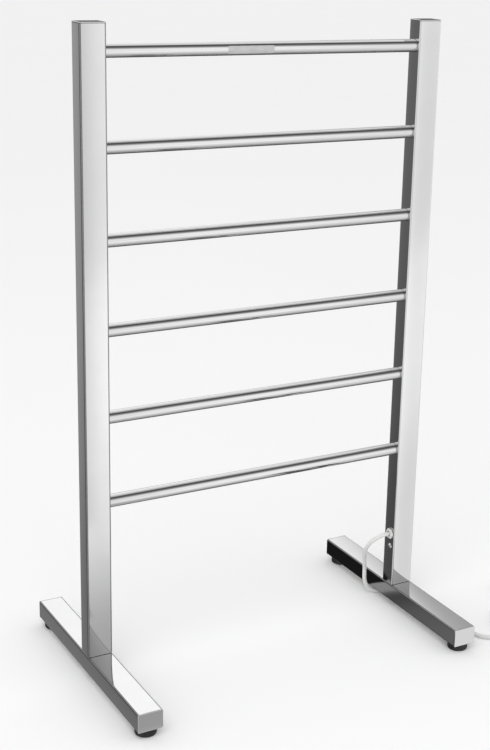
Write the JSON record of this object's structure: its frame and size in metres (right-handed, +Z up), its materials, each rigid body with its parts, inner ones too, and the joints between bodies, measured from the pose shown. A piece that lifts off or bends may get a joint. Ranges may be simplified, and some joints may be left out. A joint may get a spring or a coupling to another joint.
{
  "type": "towel warmer rack",
  "caption": "Free-standing electric towel warmer: rectangular polished posts on cross feet with levelling pads, round heated bars between them and a mains lead.",
  "frame": {"origin": "on the floor under the middle of the rack, midway between the posts", "axes": "+X along the bars towards the post with the mains outlet, +Y to the rear, +Z up"},
  "size_m": [0.793, 0.404, 1],
  "materials": {
    "polished_steel": "mirror polished tube",
    "bar_steel": "mirror polished round tube",
    "zinc_plate": "bright zinc plate",
    "black_oxide": "black oxide",
    "black_rubber": "moulded matt rubber",
    "heating_cable": "silicone sheath",
    "silicone": "moulded silicone",
    "red_wire": "wire insulation",
    "blue_wire": "wire insulation",
    "earth_wire": "green and yellow wire insulation",
    "heat_shrink": "matt sleeve",
    "ivory_plastic": "moulded",
    "brass": "bright",
    "white_nylon": "moulded nylon",
    "grey_seal": "moulded seal",
    "bright_screw": "polished",
    "clear_film": "blank printed film",
    "white_pvc": "extruded flexible sheath"
  },
  "bodies": {
    "rack": {"left_post": "polished_steel", "right_post": "polished_steel", "left_post_cap": "polished_steel", "right_post_cap": "polished_steel", "left_foot_tube": "polished_steel", "right_foot_tube": "polished_steel", "left_front_foot_cap": "polished_steel", "left_rear_foot_cap": "polished_steel", "right_front_foot_cap": "polished_steel", "right_rear_foot_cap": "polished_steel", "bar_1": "bar_steel", "bar_2": "bar_steel", "bar_3": "bar_steel", "bar_4": "bar_steel", "bar_5": "bar_steel", "bar_6": "bar_steel", "left_base_plate": "zinc_plate", "right_base_plate": "zinc_plate", "post_bolt_washers": "zinc_plate", "stud_weld_nuts": "zinc_plate", "post_bolts": "black_oxide", "heating_cable": "heating_cable", "bar_grommets": "silicone", "return_lead": "red_wire", "feed_lead": "blue_wire", "mains_cores": "blue_wire", "earth_wire": "earth_wire", "splice_sleeve": "heat_shrink", "cord_tie": "heat_shrink", "thermal_cutout": "ivory_plastic", "terminal_block": "ivory_plastic", "terminal_screws": "brass", "earth_nut": "brass", "earth_ring_lug": "brass", "plug_blades": "brass", "plug_earth_pin": "brass", "outlet_sleeve": "white_nylon", "outlet_nut": "white_nylon", "outlet_seal": "grey_seal", "cord_seal_ring": "grey_seal", "earth_screw": "bright_screw", "rating_film": "clear_film", "cord_inlet_end": "white_pvc", "cord_lead": "white_pvc", "cord_coil": "white_pvc", "cord_tail": "white_pvc", "plug_strain_relief": "white_pvc", "plug_body": "white_pvc"},
    "left_front_stud_body": {"left_front_stud": "zinc_plate"},
    "left_front_pad_body": {"left_front_pad": "black_rubber"},
    "left_rear_stud_body": {"left_rear_stud": "zinc_plate"},
    "left_rear_pad_body": {"left_rear_pad": "black_rubber"},
    "right_front_stud_body": {"right_front_stud": "zinc_plate"},
    "right_front_pad_body": {"right_front_pad": "black_rubber"},
    "right_rear_stud_body": {"right_rear_stud": "zinc_plate"},
    "right_rear_pad_body": {"right_rear_pad": "black_rubber"}
  },
  "joints": [
    {"name": "left_front_stud_travel", "type": "slide", "parent": "rack", "child": "left_front_stud_body", "axis": [0, 0, -1], "range_m": [0, 0.01]},
    {"name": "left_front_pad_turn", "type": "hinge", "parent": "left_front_stud_body", "child": "left_front_pad_body", "pos_m": [-0.28, -0.184, 0], "axis": [0, 0, -1], "range_deg": [0, 2880]},
    {"name": "left_rear_stud_travel", "type": "slide", "parent": "rack", "child": "left_rear_stud_body", "axis": [0, 0, -1], "range_m": [0, 0.01]},
    {"name": "left_rear_pad_turn", "type": "hinge", "parent": "left_rear_stud_body", "child": "left_rear_pad_body", "pos_m": [-0.28, 0.184, 0], "axis": [0, 0, -1], "range_deg": [0, 2880]},
    {"name": "right_front_stud_travel", "type": "slide", "parent": "rack", "child": "right_front_stud_body", "axis": [0, 0, -1], "range_m": [0, 0.01]},
    {"name": "right_front_pad_turn", "type": "hinge", "parent": "right_front_stud_body", "child": "right_front_pad_body", "pos_m": [0.28, -0.184, 0], "axis": [0, 0, -1], "range_deg": [0, 2880]},
    {"name": "right_rear_stud_travel", "type": "slide", "parent": "rack", "child": "right_rear_stud_body", "axis": [0, 0, -1], "range_m": [0, 0.01]},
    {"name": "right_rear_pad_turn", "type": "hinge", "parent": "right_rear_stud_body", "child": "right_rear_pad_body", "pos_m": [0.28, 0.184, 0], "axis": [0, 0, -1], "range_deg": [0, 2880]}
  ],
  "couplings": [
    {"joint": "left_front_stud_travel", "follows": "left_front_pad_turn", "m_per_rad": 0.0001989},
    {"joint": "left_rear_stud_travel", "follows": "left_rear_pad_turn", "m_per_rad": 0.0001989},
    {"joint": "right_front_stud_travel", "follows": "right_front_pad_turn", "m_per_rad": 0.0001989},
    {"joint": "right_rear_stud_travel", "follows": "right_rear_pad_turn", "m_per_rad": 0.0001989}
  ]
}
